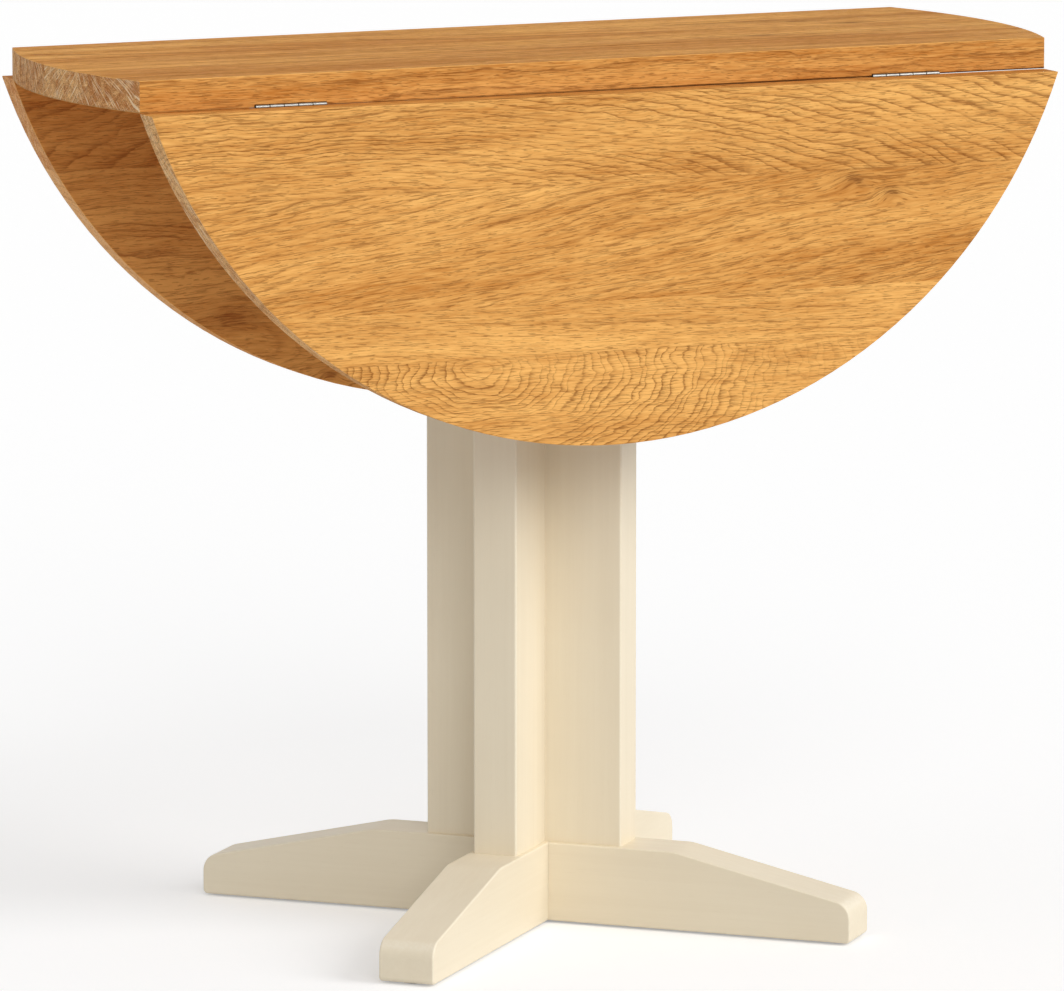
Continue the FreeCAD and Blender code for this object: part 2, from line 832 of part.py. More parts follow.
def make_bearers():
    corners = bearer_profile(
        "worked.bearer_half_long", "dims.bearer_tall", "dims.bearer_tip", "dims.bearer_taper_long"
    )
    height = size("under_bearer")
    for name, turn, notch_up in (("lower", CROSS_TURN, True), ("upper", ARM_TURN, False)):
        label = "head_bearer_" + name
        blank = beam(label, corners, "dims.plank_thick", [], "dims.bearer_round")
        tall = "dims.bearer_tall"
        notch = lap_notch(label, "dims.plank_thick", "worked.bearer_mid", notch_up, tall)
        down = seat(0, 0, -height)
        bolts = [down.multiply(place) for place in head_bolt_places()]
        screws = [down.multiply(place) for place in bearer_screw_places()]
        hole = bolt_hole(head_clamp(), size("head_recess"))
        bolt_holes = local_holes(label + "_bolt", hole, bolts, turn)
        screw_wells = local_holes(label + "_screw", long_screw_well(), screws, turn)
        item = cut(label + "_cut", blank, [notch, bolt_holes, screw_wells])
        node(label, item, seat(0, 0, height, Rotation(Z_AXIS, turn)))
    screws = placed_copies(screw("long_screw"), bearer_screw_places())
    node("head_screws", shaped("head_screw_set", screws))


def long_screw_well():
    room = size("screw_room")
    wide = size("long_screw_head_radius") + room
    deep = size("bearer_tall") + size("overrun")
    well = Part.makeCylinder(wide, deep, Vector(0, 0, -deep))
    return well.fuse(screw_hole("long_screw"))


def make_bolts():
    low = base_bolt_places()
    high = head_bolt_places()
    node("base_bolts", shaped("base_bolt_set", placed_copies(bolt(base_clamp()), low)))
    node("base_washers", shaped("base_washer_set", placed_copies(washer(), low)))
    node("head_bolts", shaped("head_bolt_set", placed_copies(bolt(head_clamp()), high)))
    node("head_washers", shaped("head_washer_set", placed_copies(washer(), high)))


def frame_pin_bore():
    radius = size("stay_pin_radius")
    deep = size("frame_pin_bite")
    return Part.makeCylinder(radius, deep + size("overrun"), Vector(0, 0, -deep))


def make_cleats():
    corners = bearer_profile(
        "worked.cleat_half_long", "dims.cleat_tall", "dims.cleat_tip", "dims.cleat_taper_long"
    )
    low = size("under_board") - size("cleat_tall")
    across = Rotation(Z_AXIS, 90)
    for side, sign in SIDES.items():
        label = "cross_cleat_" + side
        blank = beam(label, corners, "dims.cleat_thick", [], "dims.cleat_round")
        spot = seat(sign * size("cleat_line"), 0, low, across)
        back = spot.inverse()
        screws = [back.multiply(place) for place in cleat_screw_places() if place.Base.x * sign > 0]
        wells = shaped(label + "_wells", placed_copies(long_screw_well(), screws))
        pins = [back.multiply(place) for place, pin_sign in frame_pin_places() if pin_sign == sign]
        pin_holes = shaped(label + "_pin_holes", placed_copies(frame_pin_bore(), pins))
        node(label, cut(label + "_cut", blank, [wells, pin_holes]), spot)
    screws = placed_copies(screw("long_screw"), cleat_screw_places())
    node("cleat_screws", shaped("cleat_screw_set", screws))


# Stays: each runs in the plane x = stay line, its pins lie along X
def frame_pin_places():
    places = []
    height = size("axis_height") - size("stay_drop")
    face = size("pin_face")
    across = size("frame_pin_inward") - size("board_half_wide")
    for row in (across, -across):
        for sign in SIDES.values():
            outward = Rotation(Z_AXIS, Vector(sign, 0, 0))
            places.append((seat(sign * face, row, height, outward), sign))
    return places


def frame_pin():
    shoulder = size("frame_pin_shoulder_radius")
    pin = size("stay_pin_radius")
    gap = size("stay_stand_off") - size("side_gap")
    eye_end = gap + size("eye_thick") + 2 * size("side_gap")
    head = size("stay_pin_head_radius")
    top = eye_end + size("stay_pin_head_thick")
    bite = -size("frame_pin_bite") + size("running_gap")
    fixed_end = [(pin, bite), (pin, 0), (shoulder, 0), (shoulder, gap)]
    return turned(fixed_end + [(pin, gap), (pin, eye_end), (head, eye_end), (head, top)])


def leaf_pin():
    pin = size("stay_pin_radius")
    head = size("stay_pin_head_radius")
    half = size("cheek_outer")
    top = half + size("stay_pin_head_thick")
    first_head = [(head, -top), (head, -half)]
    return turned(first_head + [(pin, -half), (pin, half), (head, half), (head, top)])


def leaf_pivot():
    return Vector(0, -size("stay_reach"), -size("stay_off"))


def stay_line_places(end, side):
    x = SIDES[side] * size("stay_line")
    middle = seat(x, 0, 0)
    tube_point = leaf_seat().multVec(leaf_pivot())
    rod_point = Vector(
        0,
        size("frame_pin_inward") - size("board_half_wide"),
        size("axis_height") - size("stay_drop"),
    )
    run = rod_point - tube_point
    lean = math.degrees(math.atan2(run.z, run.y))
    tube = middle.multiply(Placement(tube_point, Rotation(X_AXIS, lean)))
    rod = middle.multiply(Placement(rod_point, Rotation(X_AXIS, lean + 180)))
    if end == "rear":
        mirror = seat(2 * x, 0, 0)
        tube = mirror.multiply(HALF_TURN).multiply(tube)
        rod = mirror.multiply(HALF_TURN).multiply(rod)
    return tube, rod


def eye_with_neck(name):
    half = "-dims.eye_thick / 2"
    eye = rod_along(X_AXIS, name + "_eye", "dims.eye_radius", "dims.eye_thick", half)
    neck_long = "dims.stay_start + dims.tube_floor / 2"
    wide = "dims.neck_wide"
    neck = box(name + "_neck", "dims.eye_thick", neck_long, wide, half, "0", "-%s / 2" % wide)
    return [eye, neck]


def pin_bore(name):
    radius = "dims.stay_pin_radius + dims.running_gap"
    long = "dims.eye_thick + 2 * dims.overrun"
    return rod_along(X_AXIS, name + "_pin_bore", radius, long, "-(%s) / 2" % long)


def along_y(name, radius, start, long):
    return rod_along(Vector(0, 1, 0), name, radius, long, "0", start)


def make_tube(name, place):
    long = "worked.tube_long - dims.stay_start"
    pieces = eye_with_neck(name)
    pieces.append(along_y(name + "_barrel", "dims.tube_radius", "dims.stay_start", long))
    lip = "worked.tube_long - dims.lip_thick"
    pieces.append(along_y(name + "_lip", "dims.lip_radius", lip, "dims.lip_thick"))
    pieces.append(along_y(name + "_ring", "dims.lip_radius", "worked.ring_start", "dims.lip_thick"))
    bore_long = "worked.tube_long - worked.tube_bottom + dims.overrun"
    bore_radius = "dims.rod_radius + dims.slide_gap"
    bore = along_y(name + "_bore", bore_radius, "worked.tube_bottom", bore_long)
    node(name, cut(name + "_cut", fuse(name + "_body", pieces), [bore, pin_bore(name)]), place)


def make_rod(name, place):
    long = "worked.rod_long - dims.stay_start"
    pieces = eye_with_neck(name)
    straight = long + " - dims.rod_tip"
    pieces.append(along_y(name + "_bar", "dims.rod_radius", "dims.stay_start", straight))
    tip = doc.addObject("Part::Cone", name + "_tip")
    tip.Placement.Rotation = Rotation(Z_AXIS, Vector(0, 1, 0))
    narrow = "dims.rod_radius - dims.rod_tip"
    bind(tip, Radius1="dims.rod_radius", Radius2=narrow, Height="dims.rod_tip")
    pieces.append(put(tip, "0", "worked.rod_long - dims.rod_tip"))
    node(name, cut(name + "_cut", fuse(name + "_body", pieces), [pin_bore(name)]), place)


def make_collar(name, place):
    start = "worked.collar_start"
    outer = along_y(name + "_outer", "dims.collar_radius", start, "dims.collar_long")
    over_start = start + " - dims.overrun"
    long = "dims.collar_long + 2 * dims.overrun"
    bore = along_y(name + "_bore", "dims.tube_radius + dims.running_gap", over_start, long)
    flutes = []
    for number in range(COLLAR_FLUTES):
        turn = "%d * 360 / %d" % (number, COLLAR_FLUTES)
        flute = doc.addObject("Part::Cylinder", "%s_flute_%d" % (name, number))
        flute.Placement.Rotation = Rotation(Z_AXIS, Vector(0, 1, 0))
        bind(flute, Radius="dims.collar_flute_radius", Height=long)
        ring = "dims.collar_radius * "
        put(flute, ring + "cos(%s)" % turn, over_start, ring + "sin(%s)" % turn)
        flutes.append(flute)
    node(name, cut(name + "_cut", outer, [bore] + flutes), place)


def make_bracket(name, side, place):
    middle = "%d * worked.stay_line" % SIDES[side]
    pivot = "-worked.stay_reach"
    low = "-dims.axis_rise - dims.bracket_thick"
    wide = "2 * dims.bracket_half_wide"
    long = "2 * dims.bracket_half_long"
    corner_x = middle + " - dims.bracket_half_wide"
    corner_y = pivot + " - dims.bracket_half_long"
    pieces = [box(name + "_plate", wide, long, "dims.bracket_thick", corner_x, corner_y, low)]
    for number, start in enumerate(("worked.cheek_inner", "-worked.cheek_outer")):
        x = "%s + %s" % (middle, start)
        tall = "dims.stay_off + %s + dims.bracket_thick / 2" % low
        y = pivot + " - dims.cheek_half_wide"
        label = "%s_cheek_%d" % (name, number)
        thick = "dims.cheek_thick"
        half = "dims.cheek_half_wide"
        foot = "-dims.stay_off"
        pieces.append(box(label, thick, "2 * " + half, tall, x, y, foot))
        pieces.append(rod_along(X_AXIS, label + "_end", half, thick, x, pivot, foot))
    bore_long = "2 * worked.cheek_outer + 2 * dims.overrun"
    bore_x = "%s - (%s) / 2" % (middle, bore_long)
    radius = "dims.stay_pin_radius + dims.running_gap"
    bore = rod_along(X_AXIS, name + "_bore", radius, bore_long, bore_x, pivot, "-dims.stay_off")
    holes = placed_copies(screw_hole("short_screw"), bracket_screw_places(SIDES[side]))
    item = cut(name + "_cut", fuse(name + "_body", pieces), [bore, shaped(name + "_holes", holes)])
    node(name, item, place)


def make_stays():
    for end, turn in ENDS.items():
        moving = turn.multiply(leaf_seat())
        for side in SIDES:
            name = "stay_%s_%s" % (end, side)
            tube, rod = stay_line_places(end, side)
            make_tube(name + "_tube", tube)
            make_rod(name + "_rod", rod)
            make_collar(name + "_lock_collar", tube)
            make_bracket(name + "_bracket", own_side(end, side), moving)
        pins = []
        for sign in SIDES.values():
            along = Rotation(Z_AXIS, Vector(1, 0, 0))
            pivot = leaf_pivot() + Vector(sign * size("stay_line"), 0, 0)
            pins.append(Placement(pivot, along))
        pin_set = shaped("leaf_pin_set_" + end, placed_copies(leaf_pin(), pins))
        node("stay_leaf_pins_" + end, pin_set, moving)
    pins = [place for place, sign in frame_pin_places()]
    node("stay_frame_pins", shaped("frame_pin_set", placed_copies(frame_pin(), pins)))


# Writing out
def check_document():
    doc.recompute()
    for item in doc.Objects:
        if "Invalid" in item.State or "Error" in item.State:
            raise RuntimeError("not built: " + item.Name)
    for name, item in NODES.items():
        if item.Shape.isNull() or not item.Shape.isValid() or not item.Shape.Solids:
            raise RuntimeError("no sound solid: " + name)


def write_nodes():
    os.makedirs("parts", exist_ok=True)
    for name, item in NODES.items():
        item.Shape.exportStep("parts/" + name + ".step")
        print("%-28s %2d solids %12.1f mm3" % (name, len(item.Shape.Solids), item.Shape.Volume))


make_base()
make_column()
make_bearers()
make_bolts()
make_board()
make_cleats()
for leaf_end in ENDS:
    make_leaf(leaf_end)
make_hinges()
make_short_screws()
make_stays()
check_document()
write_nodes()
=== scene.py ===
from collections import namedtuple
import math
import bpy
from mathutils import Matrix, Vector


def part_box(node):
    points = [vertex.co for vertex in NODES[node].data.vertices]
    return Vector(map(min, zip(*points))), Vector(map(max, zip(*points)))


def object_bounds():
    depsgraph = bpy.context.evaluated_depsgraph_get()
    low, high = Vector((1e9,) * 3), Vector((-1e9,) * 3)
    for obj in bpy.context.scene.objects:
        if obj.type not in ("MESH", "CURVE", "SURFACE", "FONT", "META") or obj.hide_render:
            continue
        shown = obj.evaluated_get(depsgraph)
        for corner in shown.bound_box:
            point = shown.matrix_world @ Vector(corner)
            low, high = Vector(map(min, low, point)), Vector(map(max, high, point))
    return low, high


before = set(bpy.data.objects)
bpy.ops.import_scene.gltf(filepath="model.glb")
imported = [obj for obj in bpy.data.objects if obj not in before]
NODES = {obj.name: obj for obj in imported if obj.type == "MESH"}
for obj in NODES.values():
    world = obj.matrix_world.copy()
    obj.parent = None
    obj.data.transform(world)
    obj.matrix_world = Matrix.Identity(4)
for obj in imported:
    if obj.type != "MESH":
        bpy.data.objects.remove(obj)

cad_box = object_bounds()

# Camera of the photograph, metres, degrees and millimetres
CAMERA_PLACE = (-2.871045, -6.295130, 1.492771)
CAMERA_YAW = 24.521
CAMERA_PITCH = 9.173
CAMERA_LENS = 270.675
SENSOR_WIDE = 36.0
CAMERA_REACH = 200.0

# Light levels: 1 makes a white face at right angles render white. Angles in degrees
WORLD_LEVEL = 0.465
KEY_LEVEL = 0.445
KEY_AZIMUTH = -45.0
FILL_LEVEL = 0.235
FILL_AZIMUTH = -100.0
SUN_HEIGHT = 31.0
SUN_SPREAD = 34.0
FLOOR_HALF = 60.0
FLOOR_LEVEL = 0.80
FLOOR_GLOW = 0.33
FLOOR_ROUGH = 0.9
FLOOR_SHINE = 0.1
WHITE = (1.0, 1.0, 1.0, 1.0)

# The parts of a place or a direction
X, Y, Z = 0, 1, 2

# Noise drawn out along the grain: cells to the metre along and across it, the noise's detail and
# roughness, and how far it swings what it is added to
Grain = namedtuple("Grain", "along across detail rough swing", defaults=(2.0, 0.5, 0.0))

# The same noise in every direction
Noise = namedtuple("Noise", "cells detail swing", defaults=(0.0,))

# A smooth step between two levels: start up to low, end from high on. low may be the larger
Rise = namedtuple("Rise", "low high start end", defaults=(0.0, 1.0))


def srgb(red, green, blue):
    """A colour as it looks on screen, 0 to 255, as the linear values that a shader takes."""
    levels = [part / 255 for part in (red, green, blue)]
    linear = [
        level / 12.92 if level <= 0.04045 else ((level + 0.055) / 1.055) ** 2.4
        for level in levels
    ]
    return (*linear, 1.0)


def grey(level):
    return (level, level, level, 1.0)


# The Mix node's share, first and second inputs and its output, when it mixes colours or numbers
MIX_COLOURS = ("RGBA", (0, 6, 7), 2)
MIX_NUMBERS = ("FLOAT", (0, 2, 3), 0)
TINY = 1e-6


class Graph:
    """Builds one node tree, with sockets passed around as plain values."""

    def __init__(self, tree):
        self.tree = tree

    def put(self, kind, inputs=(), **settings):
        item = self.tree.nodes.new(kind)
        for name, value in settings.items():
            setattr(item, name, value)
        for name, value in dict(inputs).items():
            self.feed(item.inputs[name], value)
        return item

    def feed(self, socket, value):
        if isinstance(value, bpy.types.NodeSocket):
            self.tree.links.new(value, socket)
        else:
            socket.default_value = value

    def number(self, operation, *values, clamp=False):
        item = self.tree.nodes.new("ShaderNodeMath")
        item.operation = operation
        item.use_clamp = clamp
        for socket, value in zip(item.inputs, values):
            self.feed(socket, value)
        return item.outputs[0]

    def add(self, *values):
        total = values[0]
        for value in values[1:]:
            total = self.number("ADD", total, value)
        return total

    def less(self, first, second):
        return self.number("SUBTRACT", first, second)

    def times(self, first, second):
        return self.number("MULTIPLY", first, second)

    def share(self, first, second, clamp=False):
        return self.number("DIVIDE", first, second, clamp=clamp)

    def size(self, value):
        return self.number("ABSOLUTE", value)

    def most(self, first, second):
        return self.number("MAXIMUM", first, second)

    def about(self, noise, swing):
        """A noise value turned into a swing of up to this much either way."""
        return self.times(self.less(noise, 0.5), 2 * swing)

    def rise(self, value, rise):
        item = self.put(
            "ShaderNodeMapRange",
            {
                "Value": value,
                "From Min": rise.low,
                "From Max": rise.high,
                "To Min": rise.start,
                "To Max": rise.end,
            },
            interpolation_type="SMOOTHSTEP",
        )
        return item.outputs["Result"]

    def join(self, x, y, z):
        return self.put("ShaderNodeCombineXYZ", {"X": x, "Y": y, "Z": z}).outputs[0]

    def split(self, vector):
        return self.put("ShaderNodeSeparateXYZ", {"Vector": vector}).outputs

    def length(self, vector):
        item = self.put("ShaderNodeVectorMath", {0: vector}, operation="LENGTH")
        return item.outputs["Value"]

    def noise(self, vector, cells, detail, rough=0.5):
        values = {"Vector": vector, "Scale": cells, "Detail": detail, "Roughness": rough}
        return self.put("ShaderNodeTexNoise", values).outputs["Fac"]

    def grain(self, parts, grain):
        """Noise at the place with these parts, the grain running along the first of them."""
        along = self.times(parts[X], grain.along)
        over = self.times(parts[Y], grain.across)
        under = self.times(parts[Z], grain.across)
        return self.noise(self.join(along, over, under), 1.0, grain.detail, grain.rough)

    def ramp(self, value, stops, kind="LINEAR"):
        """A number by stops of place and level. The sum with 0 makes the grey a number."""
        item = self.put("ShaderNodeValToRGB", {"Fac": value})
        item.color_ramp.interpolation = kind
        points = item.color_ramp.elements
        while len(points) < len(stops):
            points.new(0.5)
        for point, (place, level) in zip(points, stops):
            point.position = place
            point.color = grey(level)
        return self.add(item.outputs["Color"], 0.0)

    def levels(self, place, shares, values):
        """Flat levels from 0 to 1, one per share of the way, each at the height of its value."""
        low = min(values)
        spread = max(max(values) - low, TINY)
        stops = []
        edge = 0.0
        for share, value in zip(shares, values):
            stops.append((edge, (value - low) / spread))
            edge += share
        return self.add(self.times(self.ramp(place, stops, "CONSTANT"), spread), low)

    def merge(self, kind, *values):
        data_type, inputs, output = kind
        item = self.put("ShaderNodeMix", data_type=data_type, clamp_factor=True)
        for place, value in zip(inputs, values):
            self.feed(item.inputs[place], value)
        return item.outputs[output]

    def mix(self, share, first, second):
        return self.merge(MIX_COLOURS, share, first, second)

    def blend(self, share, first, second):
        return self.merge(MIX_NUMBERS, share, first, second)

    def cover(self, mark, strength, under, over):
        """The colour under, covered by the colour over where the mark is, at this strength."""
        return self.mix(self.times(mark, strength), under, over)

    def weigh(self, marks, weights):
        """The sum of the marks that have a weight, each times its weight."""
        return self.add(*[self.times(marks[name], weight) for name, weight in weights.items()])

    def place(self):
        return self.put("ShaderNodeTexCoord").outputs["Object"]

    def normal(self):
        return self.put("ShaderNodeTexCoord").outputs["Normal"]

    def turned(self, vector, rotation):
        """The parts of a vector in a frame turned so that X runs along a piece."""
        item = self.put("ShaderNodeMapping", {"Vector": vector, "Rotation": rotation})
        return self.split(item.outputs[0])


def new_material(name):
    material = bpy.data.materials.new(name)
    material.use_nodes = True
    tree = material.node_tree
    shader = tree.nodes["Principled BSDF"]
    return material, Graph(tree), shader


def finish_surface(graph, shader, colour, rough, height, relief, shine):
    """Wires up a shader. relief is how high (m) the surface stands where height is 1."""
    graph.feed(shader.inputs["Base Color"], colour)
    graph.feed(shader.inputs["Roughness"], rough)
    shader.inputs["Specular IOR Level"].default_value = shine
    bump = graph.put("ShaderNodeBump", {"Height": height, "Distance": relief, "Strength": 1.0})
    graph.feed(shader.inputs["Normal"], bump.outputs["Normal"])


# Colours of the oak
OAK_LIGHT = srgb(250, 190, 109)
OAK_DEEP = srgb(198, 129, 59)
OAK_DARK = srgb(150, 89, 37)
OAK_PORE = srgb(116, 63, 25)
# The warm colour of bounced light, painted on the rear leaf
OAK_BOUNCE_WARM = srgb(238, 132, 66)
END_LIGHT = srgb(255, 206, 142)
END_DARK = srgb(192, 124, 71)
END_HOLE = srgb(118, 70, 38)
END_RAY = srgb(255, 230, 190)
# The colour of the painted shade in the joints
GAP_SHADE = srgb(66, 34, 12)

# How much of the warm colour of bounced light is painted on the rear leaf, and how much painted
# shade darkens the leaves' long edges against their faces
REAR_BOUNCE_WARMTH = 0.22
LEAF_EDGE_PAINTED_SHADE = -0.36

# What bends the grain (m): long sways, waves and shivers, the rings' meanders, and the knots
SWAY = Grain(2.6, 8.0, swing=0.018)
WAVE = Grain(15.0, 24.0, swing=0.0110)
SHIVER = Grain(55.0, 110.0, swing=0.0025)
MEANDER = Grain(18.0, 45.0, swing=0.016)
KNOT_BEND = 0.007
SWAY_SHARE = 0.6
WAVE_SHARE = 0.18

# Growth rings: their spacing (m), how dark each is from one late wood line to the next, how
# unevenly they follow each other, their ragged edges (and how ragged without curl), the patches
# where they show, and how they fade near a stave's reach (m)
RING_SPACING = 0.0075
RING_STOPS = ((0.0, 1.0), (0.08, 0.85), (0.20, 0.30), (0.45, 0.06), (0.94, 0.0), (1.0, 0.8))
UNEVEN = Noise(0.45, 1.0, 1.1)
RAGGED = Grain(26.0, 760.0, swing=0.08)
STRAIGHT_RAGGED = 1.0
PATCH = Grain(5.0, 32.0)
PATCH_RISE = Rise(0.36, 0.62, 0.35, 1.0)
REACH_RISE = Rise(0.0, 0.16, 1.0, 0.25)

# Pores: long fine strokes and short dashes along the grain, crowded on the ring lines
STROKE = Grain(30.0, 980.0, 1.0)
STROKE_RISE = Rise(0.60, 0.70, 0.0, 0.8)
DASH = Grain(95.0, 1150.0, 1.0)
DASH_RISE = Rise(0.60, 0.69)
PORE_CROWD = 0.10

# Tone: fibre streaks, flecks, broad bands and soft clouds
STREAK = Grain(55.0, 900.0, swing=0.64)
FLECK = Grain(9.0, 300.0, swing=0.25)
BAND = Grain(2.5, 36.0, swing=0.80)
CLOUD = Grain(24.0, 52.0, 3.0, swing=0.22)

# Knots: how far they reach along and across the grain in radii, their soft halo and dark core
KNOT_ALONG = 0.45
KNOT_FADE = -0.35
HALO_POWER = 3.0
HALO_COVER = 0.30
CORE_STREAK = 0.45
CORE_RISE = Rise(0.86, 1.04, 0.0, 0.75)

# End grain: specks, blotches and holes by cells to the metre, and rays that fan out from the heart
SPECK = Noise(1400.0, 2.0, 1.5)
BLOTCH = Noise(150.0, 2.0, 0.9)
HOLE = Noise(900.0, 1.0)
HOLE_RISE = Rise(0.58, 0.68)
END_LIGHTNESS = 1.8
END_SHIFT = -0.4
RAYS = Noise(1.0, 1.0)
RAYS_ROUND = 115.0
RAYS_OUT = 48.0
RAY_RISE = Rise(0.56, 0.66)

# How strongly each mark covers what is under it
LINE_COVER = 0.68
PORE_COVER = 0.45
SEAM_COVER = 0.30
END_LINE_COVER = 0.40
HOLE_COVER = 0.65
RAY_COVER = 0.75

# By how squarely a face looks along X, or along the panel's show axis: which parts are end
# grain, long edge and arris; and where a painted highlight lies on the arrises, in patches
END_RISE = Rise(0.30, 0.75)
EDGE_RISE = Rise(0.50, 0.20)
ARRIS_FROM_EDGE = Rise(0.10, 0.30)
ARRIS_FROM_FACE = Rise(0.97, 0.80)
ARRIS_HIGHLIGHT_RISE = Rise(0.35, 0.60, 0.4, 0.9)

# The painted shade in the joint over each leaf, a dark line: how high it stands on the board's
# edge (m), and how it grows along X
JOINT_SHADE_HEIGHT = Rise(0.0015, 0.0007)
JOINT_SHADE_ALONG = Rise(-0.20, 0.22, 0.25, 0.90)

# Glue lines' half width and the relief (m), roughness and shine of the oiled oak, and how much
# each mark adds to roughness and height
SEAM_HALF = 0.0005
OAK_RELIEF = 0.00020
OAK_ROUGH = 0.64
OAK_SHINE = 0.03
OAK_ROUGHS = {"pore": 0.18, "end": 0.12, "arris_highlight": -0.20}
CLOUD_ROUGH = 0.10
OAK_HEIGHTS = {"streak": 0.25, "pore": -1.0, "line": -0.25, "seam": -0.5}

# What sets the noise apart: of a panel's staves, per metre of its width, and of the panels
STAVE_APART = 40.0
BOARD_SEED = 3.0
FRONT_SEED = 11.0
REAR_SEED = 23.0

# Each panel is glued from staves that run along X. A stave is a slice of a log whose rings are
# ellipsoids about a heart point, so their cuts through its faces give the cathedral arches,
# sweeping diagonals and straight lines of the real boards. Of each stave: its share of the
# panel's width; the heart's place along the panel, across it from the stave's middle and under
# its face (m); the taper that stretches the rings along X; the ring spacing's factor, the rings'
# strength and how far along X from the heart they keep it (m; FULL is past any panel's end); the
# lightness; the slope of the grain; its curliness
Stave = namedtuple("Stave", "share along across under taper spacing rings reach light slope curl")
FULL = 9.0
LEAF_STAVES = (
    Stave(0.250, -0.260, 0.085, 0.020, 0.235, 0.68, 0.90, FULL, 0.63, 0.00, 0.6),
    Stave(0.333, 0.900, 0.160, 0.030, 0.16, 1.15, 0.55, FULL, 0.51, 0.09, 0.4),
    Stave(0.147, -0.330, 0.200, 0.060, 0.10, 1.40, 0.45, FULL, 0.66, -0.01, 0.8),
    Stave(0.270, -0.128, -0.030, 0.006, 0.52, 0.58, 0.90, 0.17, 0.58, 0.00, 1.0),
)
# The rear leaf's staves are lighter than the front's, as painted light for the shade on its inner
# face behind the front leaf
REAR_STAVES = (
    Stave(0.270, 0.300, 0.070, 0.030, 0.22, 0.95, 1.00, FULL, 0.56, 0.04, 1.0),
    Stave(0.300, -0.600, 0.150, 0.020, 0.18, 0.95, 0.90, FULL, 0.90, 0.00, 0.8),
    Stave(0.180, 0.100, -0.150, 0.040, 0.08, 1.10, 0.60, FULL, 0.84, 0.03, 0.8),
    Stave(0.250, -0.221, -0.020, 0.008, 0.40, 0.70, 0.90, 0.20, 0.70, 0.00, 1.0),
)
BOARD_STAVES = (
    Stave(0.290, 0.200, 0.080, 0.070, 0.06, 0.90, 0.80, FULL, 0.34, 0.00, 0.5),
    Stave(0.230, -0.500, -0.090, 0.055, 0.05, 1.10, 0.80, FULL, 0.50, 0.01, 0.4),
    Stave(0.270, 0.340, 0.050, 0.090, 0.12, 0.95, 0.80, FULL, 0.36, 0.00, 0.5),
    Stave(0.210, -0.300, 0.090, 0.050, 0.06, 1.00, 0.80, FULL, 0.46, -0.01, 0.5),
)

# Small knots: place along and across the panel, and radius (m)
LEAF_KNOTS = ((0.227, 0.084, 0.006), (0.263, 0.098, 0.005))
REAR_KNOTS = ((-0.221, 0.220, 0.012), (-0.128, 0.276, 0.005), (0.150, 0.060, 0.008))
BOARD_KNOTS = ((0.208, 0.120, 0.008), (0.330, 0.185, 0.010), (0.290, 0.215, 0.007))


